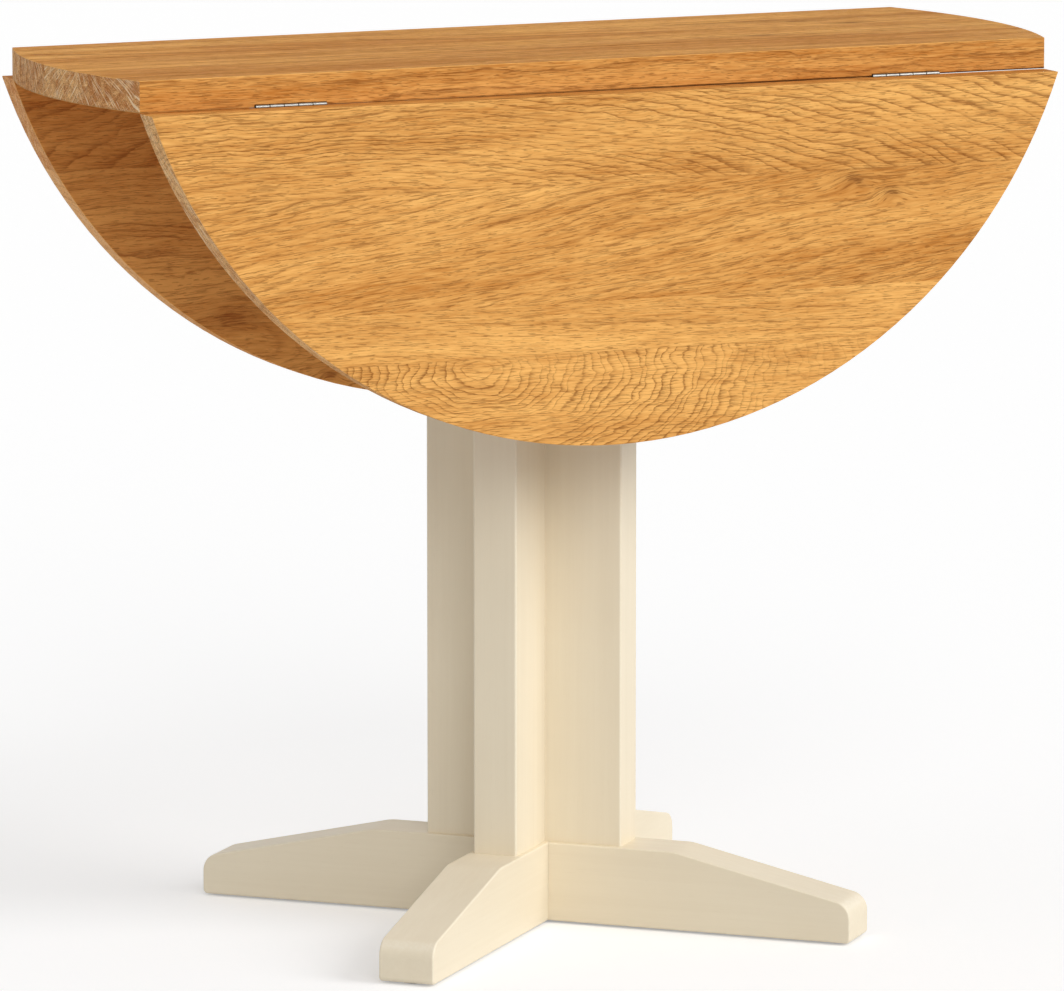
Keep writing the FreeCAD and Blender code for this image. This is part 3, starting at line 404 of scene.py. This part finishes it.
class Panel:
    """The oak of one panel. over and under turn a place's parts into the distance over the
    panel's width and under its show face; seed sets its noise apart from the other panels'."""

    def __init__(self, name, wide, staves, knots, over, under, seed):
        self.material, self.graph, self.shader = new_material(name)
        graph = self.graph
        self.wide = wide
        self.staves = staves
        self.parts = graph.split(graph.place())
        self.facing = graph.split(graph.normal())
        self.along = self.parts[X]
        self.over = over(graph, self.parts)
        self.under = under(graph, self.parts)
        self.share = graph.share(self.over, wide, clamp=True)
        shares = [stave.share for stave in staves]
        starts = [sum(shares[:place]) for place in range(len(shares))]
        self.middles = [wide * (start + share / 2) for start, share in zip(starts, shares)]
        self.own = graph.add(graph.times(self.column(self.middles), STAVE_APART), seed)
        self.deep = graph.add(self.under, self.own)
        self.knot = self.nearness(knots)
        self.bend_grain()
        self.make_rings()

    def column(self, values):
        """A number for each stave, taken where that stave is."""
        return self.graph.levels(self.share, [stave.share for stave in self.staves], values)

    def each(self, field):
        return self.column([getattr(stave, field) for stave in self.staves])

    def straight(self, grain):
        """Noise along X, whatever the grain does."""
        return self.graph.grain((self.along, self.over, self.deep), grain)

    def bent(self, grain):
        """Noise that follows the grain's bends."""
        return self.graph.grain((self.along, self.grain_over, self.deep), grain)

    def swing(self, grain):
        return self.graph.about(self.straight(grain), grain.swing)

    def nearness(self, knots):
        """1 at the heart of a knot, fading to nothing a few radii away."""
        graph = self.graph
        total = 0.0
        for x, y, radius in knots:
            reach_x = graph.times(graph.less(self.along, x), KNOT_ALONG / radius)
            reach_y = graph.times(graph.less(self.over, y), 1.0 / radius)
            far = graph.add(graph.times(reach_x, reach_x), graph.times(reach_y, reach_y))
            total = graph.most(total, graph.number("EXPONENT", graph.times(far, KNOT_FADE)))
        return total

    def bend_grain(self):
        """Where the grain runs: long sways, then waves and shivers, and bends round the knots."""
        graph = self.graph
        self.curl = self.each("curl")
        sway = self.swing(SWAY)
        wave = self.swing(WAVE)
        bend = graph.times(self.knot, KNOT_BEND)
        lively = graph.times(self.curl, graph.add(wave, self.swing(SHIVER)))
        self.slope = graph.times(self.each("slope"), self.along)
        self.drift = graph.add(sway, bend, lively)
        gentle = graph.add(graph.times(sway, SWAY_SHARE), graph.times(wave, WAVE_SHARE))
        self.grain_over = graph.add(self.over, self.slope, bend, gentle)

    def make_rings(self):
        """Growth rings round the heart of each stave's log."""
        graph = self.graph
        hearts = [middle + stave.across for middle, stave in zip(self.middles, self.staves)]
        from_heart = graph.less(self.along, self.each("along"))
        meander = graph.times(self.curl, self.swing(MEANDER))
        local_x = graph.times(graph.add(from_heart, meander), self.each("taper"))
        self.local_y = graph.less(graph.add(self.over, self.drift, self.slope), self.column(hearts))
        self.local_z = graph.add(self.under, self.each("under"))
        self.radius = graph.length(graph.join(local_x, self.local_y, self.local_z))
        spacing = self.column([stave.spacing * RING_SPACING for stave in self.staves])
        count = graph.share(self.radius, spacing)
        uneven = graph.noise(graph.join(count, self.own, 0.0), UNEVEN.cells, UNEVEN.detail)
        uneven = graph.about(uneven, UNEVEN.swing)
        ragged = graph.about(self.bent(RAGGED), RAGGED.swing)
        ragged = graph.times(ragged, graph.add(self.curl, STRAIGHT_RAGGED))
        line = graph.ramp(graph.number("FRACT", graph.add(count, uneven, ragged)), RING_STOPS)
        patch = graph.rise(self.straight(PATCH), PATCH_RISE)
        past = graph.less(graph.size(from_heart), self.each("reach"))
        strength = graph.times(graph.rise(past, REACH_RISE), self.each("rings"))
        self.line = graph.times(line, graph.times(patch, strength))

    def pores(self):
        graph = self.graph
        crowd = graph.times(self.line, PORE_CROWD)
        stroke = graph.rise(graph.add(self.bent(STROKE), crowd), STROKE_RISE)
        dash = graph.rise(graph.add(self.bent(DASH), crowd), DASH_RISE)
        return graph.most(stroke, dash)

    def end_noise(self, noise):
        across = Grain(noise.cells, noise.cells, noise.detail)
        return self.graph.grain((self.parts[Y], self.parts[Z], self.own), across)

    def end_grain(self, lightness):
        """Rings, specks and pale rays from the heart."""
        graph = self.graph
        speck = graph.about(self.end_noise(SPECK), SPECK.swing)
        blotch = graph.about(self.end_noise(BLOTCH), BLOTCH.swing)
        tone = graph.add(speck, blotch, graph.times(lightness, END_LIGHTNESS), END_SHIFT)
        hole = graph.rise(self.end_noise(HOLE), HOLE_RISE)
        turn = graph.number("ARCTAN2", self.local_y, self.local_z)
        round_heart = graph.times(turn, RAYS_ROUND)
        beams = graph.join(round_heart, graph.times(self.radius, RAYS_OUT), self.own)
        ray = graph.rise(graph.noise(beams, RAYS.cells, RAYS.detail), RAY_RISE)
        colour = graph.mix(tone, END_DARK, END_LIGHT)
        colour = graph.cover(hole, HOLE_COVER, colour, END_HOLE)
        colour = graph.cover(self.line, END_LINE_COVER, colour, END_HOLE)
        return graph.cover(ray, RAY_COVER, colour, END_RAY)

    def seams(self):
        """The glue lines between the staves."""
        half = SEAM_HALF / self.wide
        stops = [(0.0, 0.0)]
        edge = 0.0
        for stave in self.staves[:-1]:
            edge += stave.share
            stops += [(edge - half, 0.0), (edge, 1.0), (edge + half, 0.0)]
        return self.graph.ramp(self.share, stops)

    def finish(self, show_axis, edge_tone=0.0, warmth=0.0, joint_shade=None):
        """show_axis is the axis that the show face looks along; edge_tone is how much lighter
        the long edges are, below 0 for painted shade on them; warmth is how much of the warm
        colour of bounced light is painted on this panel; the last argument, where given, is a
        function that says where shade is painted in the joints."""
        graph = self.graph
        streak = self.bent(STREAK)
        cloud = self.straight(CLOUD)
        lightness = self.each("light")
        squarely = graph.size(self.facing[show_axis])
        is_end = graph.rise(graph.size(self.facing[X]), END_RISE)
        pore = self.pores()
        seam = self.seams()

        fleck = graph.about(self.bent(FLECK), FLECK.swing)
        band = graph.about(self.bent(BAND), BAND.swing)
        fibres = graph.add(graph.about(streak, STREAK.swing), fleck)
        broad = graph.add(band, graph.about(cloud, CLOUD.swing))
        # Painted shade on the leaves' long edges, where edge_tone is below 0
        edge = graph.times(graph.rise(squarely, EDGE_RISE), edge_tone)
        tone = graph.add(fibres, broad, lightness, edge)
        colour = graph.mix(tone, OAK_DEEP, OAK_LIGHT)
        colour = graph.cover(self.line, LINE_COVER, colour, OAK_DARK)
        colour = graph.cover(pore, PORE_COVER, colour, OAK_PORE)

        halo = graph.times(graph.number("POWER", self.knot, HALO_POWER), HALO_COVER)
        core = graph.rise(graph.add(self.knot, graph.about(streak, CORE_STREAK)), CORE_RISE)
        colour = graph.mix(graph.most(halo, core), colour, OAK_PORE)
        colour = graph.mix(is_end, colour, self.end_grain(lightness))
        # Painted light: the warm colour of light bounced onto this panel
        colour = graph.mix(warmth, colour, OAK_BOUNCE_WARM)
        colour = graph.cover(seam, SEAM_COVER, colour, OAK_DARK)

        from_edge = graph.rise(squarely, ARRIS_FROM_EDGE)
        arris = graph.times(from_edge, graph.rise(squarely, ARRIS_FROM_FACE))
        # Painted highlight: the arrises are lightened in patches, with a smoother finish
        arris_highlight = graph.times(arris, graph.rise(cloud, ARRIS_HIGHLIGHT_RISE))
        colour = graph.mix(arris_highlight, colour, OAK_LIGHT)
        # Painted shade in the joints, where a function for it is given
        if joint_shade:
            colour = graph.mix(joint_shade(graph, self.parts), colour, GAP_SHADE)

        marks = {
            "streak": streak,
            "pore": pore,
            "line": self.line,
            "seam": seam,
            "end": is_end,
            "arris_highlight": arris_highlight,
        }
        uneven = graph.about(cloud, CLOUD_ROUGH)
        rough = graph.add(OAK_ROUGH, uneven, graph.weigh(marks, OAK_ROUGHS))
        height = graph.weigh(marks, OAK_HEIGHTS)
        finish_surface(graph, self.shader, colour, rough, height, OAK_RELIEF, OAK_SHINE)
        return self.material


# Cream satin paint, brushed along each piece: its brush marks, the grain of the wood under it
# and that wood's pits, orange peel and clouds, and the painted highlight on its arrises, in patches
CREAM = srgb(243, 231, 206)
CREAM_SHADE = srgb(233, 219, 192)
CREAM_HIGHLIGHT = srgb(248, 239, 219)
PAINT_BRUSH = Grain(6.0, 240.0, 4.0, 0.6, 0.30)
PAINT_WOOD = Grain(2.5, 70.0, swing=0.25)
PAINT_PIT = Grain(80.0, 850.0, 1.0)
PAINT_PIT_RISE = Rise(0.67, 0.75)
PAINT_PIT_COVER = 0.30
PAINT_PEEL = Noise(420.0, 2.0)
PAINT_CLOUD = Noise(6.0, 3.0, 0.5)
PAINT_TONE = 0.35
HIGHLIGHT_RISE = Rise(0.35, 0.65, 0.2, 0.5)
ROUND_RISE = Rise(0.96, 0.80)
PAINT_ROUGH = 0.46
BRUSH_ROUGH = 0.10
HIGHLIGHT_ROUGH = -0.12
PAINT_HEIGHTS = {"brush": 0.6, "wood": 0.5, "peel": 0.05, "pit": -0.4}
PAINT_RELIEF = 0.00008
PAINT_SHINE = 0.40


def cream_paint(name, direction):
    material, graph, shader = new_material(name)
    place = graph.place()
    parts = graph.turned(place, direction)
    brush = graph.grain(parts, PAINT_BRUSH)
    wood = graph.grain(parts, PAINT_WOOD)
    pit = graph.rise(graph.grain(parts, PAINT_PIT), PAINT_PIT_RISE)
    peel = graph.noise(place, PAINT_PEEL.cells, PAINT_PEEL.detail)
    cloud = graph.noise(place, PAINT_CLOUD.cells, PAINT_CLOUD.detail)
    fine = graph.add(graph.about(brush, PAINT_BRUSH.swing), graph.about(wood, PAINT_WOOD.swing))
    tone = graph.add(fine, graph.about(cloud, PAINT_CLOUD.swing), PAINT_TONE)
    # Painted highlight on the rounded arrises, in patches
    edge_highlight = graph.times(rounded_edge(graph), graph.rise(peel, HIGHLIGHT_RISE))
    colour = graph.mix(tone, CREAM, CREAM_SHADE)
    colour = graph.cover(pit, PAINT_PIT_COVER, colour, CREAM_SHADE)
    colour = graph.mix(edge_highlight, colour, CREAM_HIGHLIGHT)
    rough = graph.add(PAINT_ROUGH, graph.about(brush, BRUSH_ROUGH), graph.times(edge_highlight, HIGHLIGHT_ROUGH))
    marks = {"brush": brush, "wood": wood, "peel": peel, "pit": pit}
    height = graph.weigh(marks, PAINT_HEIGHTS)
    finish_surface(graph, shader, colour, rough, height, PAINT_RELIEF, PAINT_SHINE)
    return material


def rounded_edge(graph):
    """1 where the surface turns between two flat sides of a piece of the crossed base, as on
    its arrises. Its pieces all stand at 45 degrees to X."""
    sides = [graph.size(part) for part in graph.turned(graph.normal(), ALONG_A)]
    squarely = graph.most(graph.most(sides[X], sides[Y]), sides[Z])
    return graph.rise(squarely, ROUND_RISE)


# Plain beech of the hidden bearers, cleats and dowels
BEECH_LIGHT = srgb(222, 184, 140)
BEECH_DARK = srgb(188, 142, 98)
BEECH_FIBRE = Grain(8.0, 260.0, 3.0, 0.6)
BEECH_BAND = Grain(1.5, 60.0)
BEECH_FLECK = Grain(260.0, 1100.0, 1.0)
BEECH_FLECK_RISE = Rise(0.62, 0.68)
BEECH_FLECK_COVER = 0.35
BEECH_TONES = {"fibre": 0.6, "band": 0.5}
BEECH_ROUGH = 0.5
FIBRE_ROUGH = 0.15
BEECH_RELIEF = 0.00010
BEECH_SHINE = 0.4


def beech(name, direction):
    material, graph, shader = new_material(name)
    parts = graph.turned(graph.place(), direction)
    fibre = graph.grain(parts, BEECH_FIBRE)
    band = graph.grain(parts, BEECH_BAND)
    fleck = graph.rise(graph.grain(parts, BEECH_FLECK), BEECH_FLECK_RISE)
    tone = graph.weigh({"fibre": fibre, "band": band}, BEECH_TONES)
    colour = graph.mix(tone, BEECH_DARK, BEECH_LIGHT)
    colour = graph.cover(fleck, BEECH_FLECK_COVER, colour, BEECH_DARK)
    rough = graph.add(BEECH_ROUGH, graph.times(fibre, FIBRE_ROUGH))
    height = graph.less(fibre, fleck)
    finish_surface(graph, shader, colour, rough, height, BEECH_RELIEF, BEECH_SHINE)
    return material


# Finishes of the metals and plastics: light and dark colour, and roughness
Finish = namedtuple("Finish", "light dark rough")
STEEL = Finish(srgb(184, 184, 180), srgb(104, 102, 96), 0.34)
ZINC = Finish(srgb(198, 200, 202), srgb(132, 135, 138), 0.38)
BRIGHT = Finish(srgb(214, 215, 218), srgb(160, 162, 166), 0.20)
BRASS = Finish(srgb(214, 178, 108), srgb(160, 124, 66), 0.35)
COLLAR = Finish(srgb(52, 52, 54), srgb(30, 30, 31), 0.55)
GLIDE = Finish(srgb(226, 222, 210), srgb(200, 196, 184), 0.50)
# The colour of the painted shade in the gaps between a hinge's knuckles
KNUCKLE_GAP_SHADE = srgb(52, 44, 34)

# The brushing of metals, its cells to the metre along it for each kind, and stains and scratches
BRUSH = Grain(0.0, 3000.0, 3.0, 0.6, 0.12)
HINGE_BRUSH = BRUSH._replace(along=60.0)
ROD_BRUSH = BRUSH._replace(along=400.0)
BRASS_BRUSH = BRUSH._replace(along=800.0)
SMALL_BRUSH = BRUSH._replace(along=900.0)
STAIN = Noise(160.0, 3.0, 0.08)
SCRATCH = Noise(900.0, 2.0)
SCRATCH_RISE = Rise(0.60, 0.68)
SCRATCH_COVER = 0.25
SCRATCH_DEPTH = 0.4
METAL_TONES = {"brush": 0.5, "stain": 0.5}
METAL_RELIEF = 0.00002
METAL_SHINE = 0.5

# Plastics
SPARK = Noise(2200.0, 2.0, 0.10)
PLASTIC_CLOUD = Noise(90.0, 3.0)
PLASTIC_TONES = {"spark": 0.4, "cloud": 0.6}
PLASTIC_RELIEF = 0.00006
PLASTIC_SHINE = 0.45

# Hinges: knuckles to a hinge; the painted shade in the gaps at their seams, by distance from a
# knuckle's middle in knuckle lengths; and where the barrel ends, by distance from the pin's axis in
# pin diameters
KNUCKLES = 5
KNUCKLE_SHADE_RISE = Rise(0.43, 0.5, 0.0, 0.9)
BARREL_OUTSIDE = 1.3
BARREL_INSIDE = 1.1


def metal(name, finish, direction, brushing, seams=None):
    """Brushed metal. seams, where given, is a function that says where shade is painted in the gaps
    of joints.
    """
    material, graph, shader = new_material(name)
    place = graph.place()
    brush = graph.grain(graph.turned(place, direction), brushing)
    stain = graph.noise(place, STAIN.cells, STAIN.detail)
    scratch = graph.rise(graph.noise(place, SCRATCH.cells, SCRATCH.detail), SCRATCH_RISE)
    tone = graph.weigh({"brush": brush, "stain": stain}, METAL_TONES)
    colour = graph.mix(tone, finish.dark, finish.light)
    colour = graph.cover(scratch, SCRATCH_COVER, colour, finish.light)
    if seams:
        # Painted shade in the gaps of the joints, where given
        colour = graph.mix(seams(graph), colour, KNUCKLE_GAP_SHADE)
    uneven = graph.add(graph.about(brush, brushing.swing), graph.about(stain, STAIN.swing))
    rough = graph.add(finish.rough, uneven)
    height = graph.less(brush, graph.times(scratch, SCRATCH_DEPTH))
    shader.inputs["Metallic"].default_value = 1.0
    finish_surface(graph, shader, colour, rough, height, METAL_RELIEF, METAL_SHINE)
    return material


def knuckle_gap_shade(graph):
    """Painted shade in the gaps at the ends of the knuckles: each hinge has the same knuckles from
    end to end.
    """
    low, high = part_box("hinge_front_right_pin")
    x, y, z = graph.split(graph.place())
    knuckle = (high.x - low.x) / KNUCKLES
    from_end = graph.less(graph.size(x), low.x)
    beat = graph.number("FRACT", graph.share(from_end, knuckle))
    seam = graph.rise(graph.size(graph.less(beat, 0.5)), KNUCKLE_SHADE_RISE)
    out = graph.less(graph.size(y), abs(low.y + high.y) / 2)
    far = graph.length(graph.join(0.0, out, graph.less(z, (low.z + high.z) / 2)))
    thick = high.z - low.z
    return graph.times(seam, graph.rise(far, Rise(BARREL_OUTSIDE * thick, BARREL_INSIDE * thick)))


def plastic(name, finish):
    material, graph, shader = new_material(name)
    place = graph.place()
    spark = graph.noise(place, SPARK.cells, SPARK.detail)
    cloud = graph.noise(place, PLASTIC_CLOUD.cells, PLASTIC_CLOUD.detail)
    tone = graph.weigh({"spark": spark, "cloud": cloud}, PLASTIC_TONES)
    colour = graph.mix(tone, finish.dark, finish.light)
    rough = graph.add(finish.rough, graph.about(spark, SPARK.swing))
    finish_surface(graph, shader, colour, rough, spark, PLASTIC_RELIEF, PLASTIC_SHINE)
    return material


def wear(material, *names):
    for name in names:
        mesh = NODES[name].data
        mesh.materials.clear()
        mesh.materials.append(material)


# How a place's parts give the distance over each panel's width and under its show face
BOARD_LOW, BOARD_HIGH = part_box("centre_board")
FRONT_LOW, FRONT_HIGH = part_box("front_leaf")
REAR_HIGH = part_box("rear_leaf")[1]


def board_over(graph, parts):
    return graph.less(parts[Y], BOARD_LOW.y)


def board_under(graph, parts):
    return graph.less(BOARD_HIGH.z, parts[Z])


def leaf_over(graph, parts):
    return graph.less(FRONT_HIGH.z, parts[Z])


def front_under(graph, parts):
    return graph.less(parts[Y], FRONT_LOW.y)


def rear_under(graph, parts):
    return graph.less(REAR_HIGH.y, parts[Y])


# Painted shade: a dark line along the board's lower edge over each leaf, where the joint is in shade
def board_joint_shade(graph, parts):
    above = graph.less(parts[Z], BOARD_LOW.z)
    return graph.times(graph.rise(above, JOINT_SHADE_HEIGHT), graph.rise(parts[X], JOINT_SHADE_ALONG))


def dress_oak():
    board = BOARD_HIGH.y - BOARD_LOW.y
    leaf = FRONT_HIGH.z - FRONT_LOW.z
    top = Panel("oak_board", board, BOARD_STAVES, BOARD_KNOTS, board_over, board_under, BOARD_SEED)
    front = Panel("oak_front_leaf", leaf, LEAF_STAVES, LEAF_KNOTS, leaf_over, front_under, FRONT_SEED)
    rear = Panel("oak_rear_leaf", leaf, REAR_STAVES, REAR_KNOTS, leaf_over, rear_under, REAR_SEED)
    wear(top.finish(Z, joint_shade=board_joint_shade), "centre_board")
    wear(front.finish(Y, LEAF_EDGE_PAINTED_SHADE), "front_leaf")
    wear(rear.finish(Y, LEAF_EDGE_PAINTED_SHADE, REAR_BOUNCE_WARMTH), "rear_leaf")


# Turns that bring X along a piece
ALONG_A = (0.0, 0.0, math.pi / 4)
ALONG_B = (0.0, 0.0, -math.pi / 4)
ALONG_X = (0.0, 0.0, 0.0)
ALONG_Y = (0.0, 0.0, math.pi / 2)
UPRIGHT = (0.0, math.pi / 2, 0.0)


def dress_base():
    wear(cream_paint("cream_beam_lower", ALONG_A), "base_beam_lower")
    wear(cream_paint("cream_beam_upper", ALONG_B), "base_beam_upper")
    column = cream_paint("cream_column", UPRIGHT)
    wear(column, "column_core_plank", "column_wing_front", "column_wing_rear")
    wear(beech("beech_bearer_lower", ALONG_A), "head_bearer_lower")
    wear(beech("beech_bearer_upper", ALONG_B), "head_bearer_upper")
    wear(beech("beech_cleats", ALONG_Y), "cross_cleat_left", "cross_cleat_right")
    wear(beech("beech_dowels", ALONG_B), "column_dowels")


def dress_hardware():
    hinge = metal("hinge_nickel", STEEL, ALONG_X, HINGE_BRUSH, knuckle_gap_shade)
    screw = metal("screw_nickel", STEEL, ALONG_X, SMALL_BRUSH)
    zinc = metal("zinc_plate", ZINC, ALONG_X, SMALL_BRUSH)
    bright = metal("bright_rod", BRIGHT, ALONG_Y, ROD_BRUSH)
    grip = plastic("collar_plastic", COLLAR)
    for name in NODES:
        if name.startswith("hinge_screws"):
            wear(screw, name)
        elif name.startswith("hinge_"):
            wear(hinge, name)
        elif name.endswith("_rod"):
            wear(bright, name)
        elif name.endswith("_lock_collar"):
            wear(grip, name)
        elif name.startswith(("stay_", "bracket_")):
            wear(zinc, name)
        elif name.endswith(("_bolts", "_washers", "_screws")):
            wear(zinc, name)
    wear(metal("insert_brass", BRASS, ALONG_X, BRASS_BRUSH), "column_inserts")
    wear(plastic("glide_plastic", GLIDE), "foot_glides")


# Floor, light and camera
def white_seen(graph):
    """1 for the camera's rays and for reflected and refracted ones, which meet a white studio."""
    path = graph.put("ShaderNodeLightPath").outputs
    seen = graph.most(path["Is Camera Ray"], path["Is Glossy Ray"])
    return graph.most(seen, path["Is Transmission Ray"])


def make_floor():
    low = cad_box[0].z
    corners = [
        (-FLOOR_HALF, -FLOOR_HALF, low),
        (FLOOR_HALF, -FLOOR_HALF, low),
        (FLOOR_HALF, FLOOR_HALF, low),
        (-FLOOR_HALF, FLOOR_HALF, low),
    ]
    mesh = bpy.data.meshes.new("floor")
    mesh.from_pydata(corners, [], [(0, 1, 2, 3)])
    floor = bpy.data.objects.new("floor", mesh)
    bpy.context.scene.collection.objects.link(floor)
    material, graph, shader = new_material("floor_white")
    shader.inputs["Base Color"].default_value = grey(FLOOR_LEVEL)
    shader.inputs["Roughness"].default_value = FLOOR_ROUGH
    shader.inputs["Specular IOR Level"].default_value = FLOOR_SHINE
    shader.inputs["Emission Color"].default_value = WHITE
    graph.feed(shader.inputs["Emission Strength"], graph.times(white_seen(graph), FLOOR_GLOW))
    mesh.materials.append(material)


def make_world():
    world = bpy.data.worlds.new("studio")
    world.use_nodes = True
    bpy.context.scene.world = world
    graph = Graph(world.node_tree)
    background = world.node_tree.nodes["Background"]
    background.inputs["Color"].default_value = WHITE
    graph.feed(background.inputs["Strength"], graph.blend(white_seen(graph), WORLD_LEVEL, 1.0))


def make_sun(name, azimuth, level):
    data = bpy.data.lights.new(name, "SUN")
    data.energy = math.pi * level
    data.angle = math.radians(SUN_SPREAD)
    sun = bpy.data.objects.new(name, data)
    bpy.context.scene.collection.objects.link(sun)
    turn = math.radians(azimuth)
    lift = math.radians(SUN_HEIGHT)
    flat = math.cos(lift)
    towards = Vector((math.cos(turn) * flat, math.sin(turn) * flat, math.sin(lift)))
    sun.rotation_mode = "QUATERNION"
    sun.rotation_quaternion = towards.to_track_quat("Z", "Y")


def make_camera():
    data = bpy.data.cameras.new("camera")
    data.sensor_width = SENSOR_WIDE
    data.lens = CAMERA_LENS
    data.clip_end = CAMERA_REACH
    camera = bpy.data.objects.new("camera", data)
    bpy.context.scene.collection.objects.link(camera)
    camera.location = CAMERA_PLACE
    tilt = math.radians(90.0 - CAMERA_PITCH)
    camera.rotation_euler = (tilt, 0.0, math.radians(-CAMERA_YAW))
    bpy.context.scene.camera = camera


dress_oak()
dress_base()
dress_hardware()
make_floor()
make_world()
make_sun("key", KEY_AZIMUTH, KEY_LEVEL)
make_sun("fill", FILL_AZIMUTH, FILL_LEVEL)
make_camera()
bpy.context.scene.view_settings.view_transform = "Standard"
